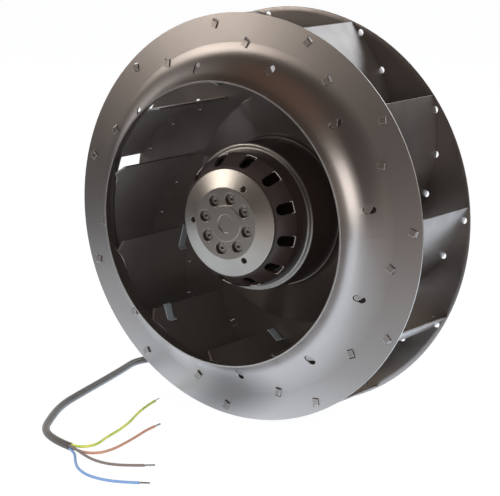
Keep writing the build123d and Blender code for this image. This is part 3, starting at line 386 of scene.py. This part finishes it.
def tinned_copper():
    """Tin on the crimped end sleeves: silvery, with bright crimp marks."""
    return metal("tinned_copper", tones=("#cfcdc6", "#dcdad3"), roughness=(0.22, 0.32),
                 grain=0.5 * MM, depth=10 * MICRON, edge=0.1 * MM)


def winding_varnish():
    """Dipping varnish over copper wire: dark brown, with a dull skin."""
    return moulded("varnished_winding", tones=("#120c0a", "#1b120e"), roughness=(0.66, 0.76),
                   grain=1.2 * MM, depth=20 * MICRON)


def black_polyamide():
    """Moulded cap of glass-filled polyamide: black with a matt skin."""
    return moulded("black_polyamide", tones=("#161616", "#1d1d1d"), roughness=(0.42, 0.52),
                   grain=1.0 * MM, depth=30 * MICRON)


def brown_polyamide():
    """Polyamide of the insulators and ball cages: dark brown, with a dull moulded skin."""
    return moulded("brown_polyamide", tones=("#2e2a25", "#39342d"), roughness=(0.52, 0.62),
                   grain=1.0 * MM, depth=20 * MICRON)


def black_rubber():
    """Moulded rubber of the strain relief: black and dull."""
    return moulded("black_rubber", tones=("#1a1a1b", "#232324"), roughness=(0.50, 0.62),
                   grain=1.0 * MM, depth=30 * MICRON)


def sheath_rubber():
    """Extruded rubber sheath: dark brownish grey, with a long soft highlight along its back."""
    return moulded("sheath_rubber", tones=("#57524d", "#635e59"), roughness=(0.32, 0.42),
                   grain=1.0 * MM, depth=10 * MICRON)


def core_insulation(name, *tones):
    """Extruded insulation of one conductor: smooth and lightly glossy, in its own colour."""
    return moulded(name, tones, roughness=(0.34, 0.44), grain=0.8 * MM, depth=10 * MICRON)


def striped_insulation():
    """Green and yellow insulation of the earth conductor: two stripes that wind slowly along it."""
    material, tree, shader = new_material("green_yellow_insulation")
    parts = split(tree, add_node(tree, "ShaderNodeUVMap", uv_map="UVMap").outputs["UV"])
    turns = maths(tree, "MULTIPLY_ADD", parts["X"], STRIPE_TURNS, parts["Y"])
    stripe = above(tree, maths(tree, "FRACT", turns), YELLOW_SHARE)
    paint(tree, shader, colours(tree, stripe, "#f1fa6c", "#d0ea5c"))
    roughen(tree, shader, place(tree), 4 * MM, 0.36, 0.44)
    return material


def finish_node(name, material):
    """Gives a CAD node its finish."""
    data = NODES[name].data
    data.materials.clear()
    data.materials.append(material)


def finish_cad_nodes():
    """Every CAD node keeps its shape and gets its real finish."""
    sheet = sheet_coat()
    spring = spring_steel()
    ground = ground_steel()
    cast = cast_aluminium()
    iron = stamped_iron()
    black = black_polyamide()
    brown = brown_polyamide()
    finishes = {
        "back_plate": sheet, "front_shroud": spun_coat(), "rotor_shell": black_casting(),
        "hub_disc": grey_lacquer(), "hub_screws": zinc_plate(), "balance_clips": zinc_flake(),
        "stator_flange": cast, "cable_strain_relief": black_rubber(), "rear_bore_cap": black,
        "thermal_cutout": black, "stator_core": iron, "rotor_core": iron, "rotor_cage": cast,
        "stator_windings": winding_varnish(), "front_insulator": brown, "rear_insulator": brown,
        "front_bearing_cage": brown, "rear_bearing_cage": brown, "preload_spring": spring,
        "shaft_retaining_ring": spring}
    for name in NODES:
        finish_node(name, finishes.get(name, ground))
    for name in BLADE_NODES:
        finish_node(name, sheet)


# Cable: its solids' points in metres, with the sheath's middle ones moved to follow the photograph

SHEATH_ROUTE = (
    (-0.0408, -0.0098, -0.0582), (-0.0701, 0.0039, -0.1002), (-0.092, 0.012, -0.148),
    (-0.124, 0.026, -0.186), (-0.160, 0.0345, SHEATH_LOW), (-0.197, 0.0345, SHEATH_LOW),
    (-0.219, 0.004, SHEATH_LOW), (-0.206, -0.040, SHEATH_LOW), (-0.194, -0.086, SHEATH_LOW),
    (-0.182, -0.135, SHEATH_LOW), (-0.169, -0.185, SHEATH_LOW), (-0.146, -0.230, SHEATH_LOW),
    (-0.124, -0.266, SHEATH_LOW), (-0.091, -0.287, SHEATH_LOW), (-0.068, -0.293, SHEATH_LOW))
EARTH_ROUTE = (
    (-0.0676, -0.2917, -0.1969), (-0.0585, -0.294, -0.1965), (-0.0505, -0.287, -0.1965),
    (-0.052, -0.271, -0.198), (-0.062, -0.247, -0.1995), (-0.070, -0.216, CORE_LOW),
    (-0.080, -0.186, CORE_LOW), (-0.093, -0.157, CORE_LOW), (-0.102, -0.130, CORE_LOW),
    (-0.106, -0.112, CORE_LOW))
BROWN_ROUTE = (
    (-0.0676, -0.2917, -0.1996), (-0.057, -0.2935, CORE_LOW), (-0.046, -0.293, CORE_LOW),
    (-0.037, -0.286, CORE_LOW), (-0.035, -0.268, CORE_LOW), (-0.039, -0.243, CORE_LOW),
    (-0.044, -0.219, CORE_LOW), (-0.049, -0.199, CORE_LOW), (-0.050, -0.186, CORE_LOW))
BLACK_ROUTE = (
    (-0.0684, -0.2943, -0.1969), (-0.056, -0.2985, -0.1975), (-0.043, -0.304, -0.199),
    (-0.027, -0.308, CORE_LOW), (-0.008, -0.309, CORE_LOW), (0.008, -0.302, CORE_LOW),
    (0.020, -0.293, CORE_LOW))
BLUE_ROUTE = (
    (-0.0684, -0.2943, -0.1996), (-0.059, -0.299, CORE_LOW), (-0.050, -0.308, CORE_LOW),
    (-0.039, -0.321, CORE_LOW), (-0.024, -0.336, CORE_LOW), (-0.004, -0.347, CORE_LOW),
    (0.016, -0.349, CORE_LOW), (0.033, -0.345, CORE_LOW), (0.048, -0.337, CORE_LOW))


def lay_cord(name, route, diameter, material):
    """A round cord on one smooth spline through its route."""
    curve = bpy.data.curves.new(name, "CURVE")
    curve.dimensions = "3D"
    curve.bevel_depth = 1.0
    curve.bevel_resolution = CORD_ROUNDNESS
    curve.resolution_u = SPLINE_STEPS
    curve.use_fill_caps = True
    spline = curve.splines.new("NURBS")
    spline.points.add(len(route) - 1)
    for point, spot in zip(spline.points, route):
        point.co = (*spot, 1.0)
        point.radius = diameter / 2
    spline.order_u = SPLINE_ORDER
    spline.use_endpoint_u = True
    curve.materials.append(material)
    cord = bpy.data.objects.new(name, curve)
    bpy.context.scene.collection.objects.link(cord)
    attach(cord, "stator")
    return cord


def spline_length(cord):
    """The length of a cord's own line, measured on its smooth spline."""
    depth = cord.data.bevel_depth
    cord.data.bevel_depth = 0.0
    bpy.context.view_layer.update()
    line = bpy.data.meshes.new_from_object(cord.evaluated_get(bpy.context.evaluated_depsgraph_get()))
    cord.data.bevel_depth = depth
    spots = [vertex.co.copy() for vertex in line.vertices]
    bpy.data.meshes.remove(line)
    return sum((b - a).length for a, b in zip(spots, spots[1:]))


def end_sleeve(name, route, material):
    """A crimped sleeve on a conductor's end: a tube drawn out of a disc, with two crimp marks."""
    end = Vector(route[-1])
    way = (end - Vector(route[-2])).normalized()
    bpy.ops.mesh.primitive_circle_add(vertices=SLEEVE_SIDES, radius=SLEEVE_RADIUS, fill_type="NGON",
                                      location=end, rotation=way.to_track_quat("Z", "Y").to_euler())
    sleeve = bpy.context.object
    sleeve.name = name
    bpy.ops.object.transform_apply(location=True, rotation=True, scale=True)
    bpy.ops.object.mode_set(mode="EDIT")
    bpy.ops.mesh.select_all(action="SELECT")
    reached, width = 0.0, 1.0
    for share, size in SLEEVE_STEPS:
        bpy.ops.mesh.extrude_region_move(
            TRANSFORM_OT_translate={"value": way * (share - reached) * SLEEVE_LENGTH})
        bpy.ops.transform.resize(value=(size / width,) * 3,
                                 center_override=end + way * share * SLEEVE_LENGTH)
        reached, width = share, size
    bpy.ops.mesh.select_all(action="SELECT")
    bpy.ops.mesh.normals_make_consistent(inside=False)
    bpy.ops.mesh.select_all(action="DESELECT")
    bpy.ops.object.mode_set(mode="OBJECT")
    sleeve.data.shade_smooth()
    sleeve.data.materials.append(material)
    sleeve.select_set(False)
    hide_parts("conductor_end_sleeves")
    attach(sleeve, "stator")
    return sleeve


def cables():
    """The sheathed cable and its four conductors, each with an end sleeve."""
    sheath = lay_cord("cable_sheath_laid", SHEATH_ROUTE, SHEATH, sheath_rubber())
    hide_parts("cable_sheath")
    spline_length(sheath)
    tin = tinned_copper()
    kinds = (
        ("earth", EARTH_ROUTE, "core_green_yellow", striped_insulation()),
        ("brown", BROWN_ROUTE, "core_brown", core_insulation("brown_insulation", "#d6a085", "#dda88d")),
        ("black", BLACK_ROUTE, "core_black", core_insulation("black_insulation", "#8a7e78", "#948882")),
        ("blue", BLUE_ROUTE, "core_blue", core_insulation("blue_insulation", "#86b1ec", "#92baf0")))
    for name, route, slot, material in kinds:
        cord = lay_cord("conductor_%s_laid" % name, route, CORE, material)
        sleeve = end_sleeve("end_sleeve_%s" % name, route, tin)
        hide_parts("conductor_" + name)
        spline_length(cord)


# Stage, light and camera

WHITE = (1.0, 1.0, 1.0, 1.0)

# The floor: its size, colour and glow, and the glow's share in what the camera sees
FLOOR_SIZE = 40.0
FLOOR_COLOUR = "#e4e8ee"
FLOOR_GLOW = 1.15
GLOW_SHARE = 0.82

# The floor that the metal mirrors: its tones far ahead, nearer, and in its painted pools of light
AHEAD_TONE = (0.47, 0.42, 0.40, 1.0)
NEARER_TONE = (0.80, 0.90, 1.0, 1.0)
PAINTED_POOL_TONE = (1.50, 1.72, 1.98, 1.0)

# Where its tones change: far ahead, in front of and behind the fan, round two spots (a painted pool of light
# behind it and a painted shadow at its foot), and in corners of painted shade
AHEAD_FADE = (-0.95, -0.30)
BESIDE_FADE = (0.11, 0.24)
BACK_POOL = (0.28, 0.33, FLOOR)
POOL_FADE = (0.10, 0.22)
FRONT_FOOT = (-0.04, -0.15, FLOOR)
FOOT_FADE = (0.02, 0.07)
FOOT_SHADE = 0.35
FLOOR_DARK_CORNER = (0.15, 0.50)
FLOOR_CORNER_SHADE = 0.12

# The backdrop by the way one looks: where it starts and ends, and its darker corner
BACKDROP_START = (-0.5, 0.1)
BACKDROP_TOP = (0.3, 0.8)
BACKDROP_CURTAIN = (0.20, 0.36)
BACKDROP_CURTAIN_SHADE = 0.08

# The studio round the fan: its own tone and its ceiling's, and the light that it gives
ROOM_TONE = (0.07, 0.056, 0.05, 1.0)
CEILING_TONE = (0.17, 0.10, 0.065, 1.0)
CEILING_START = (0.65, 0.95)
SOFT_TONE = (0.95, 0.97, 1.0, 1.0)
SOFT_STRENGTH = 0.30

LAMP_AIM = (0.0, -0.08, 0.0)


def mirrored(tree, ray):
    """One on rays that metal mirrors or something clear lets through, and nought on others."""
    return maths(tree, "MAXIMUM", ray["Is Glossy Ray"], ray["Is Transmission Ray"])


def dark_corner(tree, along, span, shade):
    """A dark corner where X times Y is large: one outside it, and its shade within. On the mirrored floor it
    is painted shade.
    """
    return ramp(tree, maths(tree, "MULTIPLY", along["X"], along["Y"]), span, 1.0, shade)


def mirrored_floor(tree):
    """The floor that the metal mirrors, a glow with painted light and shade: brownish far ahead, bright in
    painted pools of light beside the fan and behind it, with a painted shadow at its foot and painted shade
    in the corners where X times Y is large."""
    where = place(tree)
    along = split(tree, where)
    # Painted pools of light: beside the fan and behind it
    beside = ramp(tree, maths(tree, "ABSOLUTE", along["Y"]), BESIDE_FADE, 1.0, 0.0)
    behind = ramp(tree, distance(tree, where, BACK_POOL), POOL_FADE, 1.0, 0.0)
    dull = mix(tree, ramp(tree, along["Y"], AHEAD_FADE), AHEAD_TONE, NEARER_TONE)
    tone = mix(tree, maths(tree, "MAXIMUM", beside, behind), dull, PAINTED_POOL_TONE)
    # Painted shadow at the fan's foot, and painted shade in the far corners
    foot = ramp(tree, distance(tree, where, FRONT_FOOT), FOOT_FADE, FOOT_SHADE, 1.0)
    strength = maths(tree, "MULTIPLY", foot, dark_corner(tree, along, FLOOR_DARK_CORNER, FLOOR_CORNER_SHADE))
    return add_node(tree, "ShaderNodeEmission", {"Color": tone, "Strength": strength}).outputs["Emission"]


def white_stage():
    """A pale floor that keeps a faint shadow and is white where nothing falls on it."""
    bpy.ops.mesh.primitive_plane_add(size=1.0, location=(0.0, 0.0, FLOOR))
    floor = bpy.context.object
    floor.name = "floor"
    floor.scale = (FLOOR_SIZE, FLOOR_SIZE, 1.0)
    bpy.ops.object.transform_apply(location=True, rotation=False, scale=True)
    material = bpy.data.materials.new("white_floor")
    tree = empty_tree(material)
    ray = add_node(tree, "ShaderNodeLightPath").outputs
    matte = add_node(tree, "ShaderNodeBsdfDiffuse", {"Color": linear(FLOOR_COLOUR)}).outputs["BSDF"]
    glow = add_node(tree, "ShaderNodeEmission", {"Color": WHITE, "Strength": FLOOR_GLOW}).outputs["Emission"]
    seen = mix_shaders(tree, maths(tree, "MULTIPLY", ray["Is Camera Ray"], GLOW_SHARE), matte, glow)
    surface = mix_shaders(tree, mirrored(tree, ray), seen, mirrored_floor(tree))
    add_node(tree, "ShaderNodeOutputMaterial", {"Surface": surface})
    material.cycles.emission_sampling = "NONE"
    floor.data.materials.append(material)


def background(tree, colour, strength=1.0):
    """A background of one colour and strength."""
    return add_node(tree, "ShaderNodeBackground", {"Color": colour,
                                                   "Strength": strength}).outputs["Background"]


def white_world():
    """A white backdrop behind the fan, darker in its right corner, and a dim studio with
    a brown ceiling in front of it. The camera sees all of it white."""
    world = bpy.data.worlds.new("studio")
    bpy.context.scene.world = world
    tree = empty_tree(world)
    world.cycles.sampling_method = "NONE"
    ray = add_node(tree, "ShaderNodeLightPath").outputs
    glossy = mirrored(tree, ray)
    way = split(tree, add_node(tree, "ShaderNodeTexCoord").outputs["Generated"])
    wall = maths(tree, "MULTIPLY", ramp(tree, way["Y"], BACKDROP_START),
                 ramp(tree, way["Z"], BACKDROP_TOP, 1.0, 0.0))
    backdrop = maths(tree, "MULTIPLY", wall, dark_corner(tree, way, BACKDROP_CURTAIN, BACKDROP_CURTAIN_SHADE))
    white_share = maths(tree, "MAXIMUM", maths(tree, "MULTIPLY", glossy, backdrop), ray["Is Camera Ray"])
    tone = mix(tree, ramp(tree, way["Z"], CEILING_START), ROOM_TONE, CEILING_TONE)
    studio = mix_shaders(tree, glossy, background(tree, SOFT_TONE, SOFT_STRENGTH), background(tree, tone))
    surface = mix_shaders(tree, white_share, studio, background(tree, WHITE))
    add_node(tree, "ShaderNodeOutputWorld", {"Surface": surface})


def softbox(name, spot, size, power, colour, mirror=True):
    """A rectangular area light at a spot, turned to the fan. Without mirror, metal doesn't show it."""
    light = bpy.data.lights.new(name, "AREA")
    light.shape = "RECTANGLE"
    light.size, light.size_y = size
    light.energy = power
    light.color = colour
    lamp = bpy.data.objects.new(name, light)
    bpy.context.scene.collection.objects.link(lamp)
    lamp.location = spot
    lamp.rotation_mode = "QUATERNION"
    lamp.rotation_quaternion = (Vector(LAMP_AIM) - Vector(spot)).to_track_quat("-Z", "Y")
    lamp.visible_camera = False
    lamp.visible_glossy = mirror


def studio_lights():
    """A warm window on the left, a broad lamp on the right, a cool window behind, and two soft
    lamps, above and in front, that the metal doesn't mirror."""
    softbox("left_window", spot=(-1.85, -2.1, 1.05), size=(1.0, 1.0), power=14.5, colour=(1.0, 0.955, 0.90))
    softbox("right_window", spot=(2.6, 0.0, 0.9), size=(1.7, 1.7), power=19.0, colour=(1.0, 0.98, 0.96))
    softbox("overhead", spot=(0.1, -0.5, 2.0), size=(1.2, 1.2), power=9.0, colour=(1.0, 0.96, 0.92),
            mirror=False)
    softbox("back_window", spot=(0.6, 2.2, 1.5), size=(1.6, 1.2), power=14.0, colour=(0.78, 0.89, 1.0))
    softbox("front_fill", spot=(1.0, -2.0, 0.5), size=(1.0, 1.0), power=18.0, colour=(1.0, 0.86, 0.80),
            mirror=False)


def photo_camera():
    """The camera at the photograph's place, with the photograph's lens."""
    azimuth, elevation = math.radians(VIEW_AZIMUTH), math.radians(VIEW_ELEVATION)
    back = Vector((math.sin(azimuth) * math.cos(elevation), -math.cos(azimuth) * math.cos(elevation),
                   math.sin(elevation)))
    level_right = Vector((math.cos(azimuth), math.sin(azimuth), 0.0))
    level_up = back.cross(level_right)
    roll = math.radians(VIEW_ROLL)
    right = level_right * math.cos(roll) + level_up * math.sin(roll)
    up = back.cross(right)
    data = bpy.data.cameras.new("camera")
    data.sensor_width = SENSOR
    data.lens = SENSOR * LENS_PIXELS / PHOTO_WIDTH
    camera = bpy.data.objects.new("camera", data)
    bpy.context.scene.collection.objects.link(camera)
    spot = VIEW_AIM + back * VIEW_DISTANCE + right * VIEW_ASIDE + up * VIEW_RAISED
    turn = Matrix((right, up, back)).transposed().to_4x4()
    camera.matrix_world = Matrix.Translation(spot) @ turn
    bpy.context.scene.camera = camera


bpy.context.scene.view_settings.view_transform = "Standard"
bpy.ops.object.select_all(action="DESELECT")
photo_camera()
cables()
finish_cad_nodes()
white_stage()
white_world()
studio_lights()
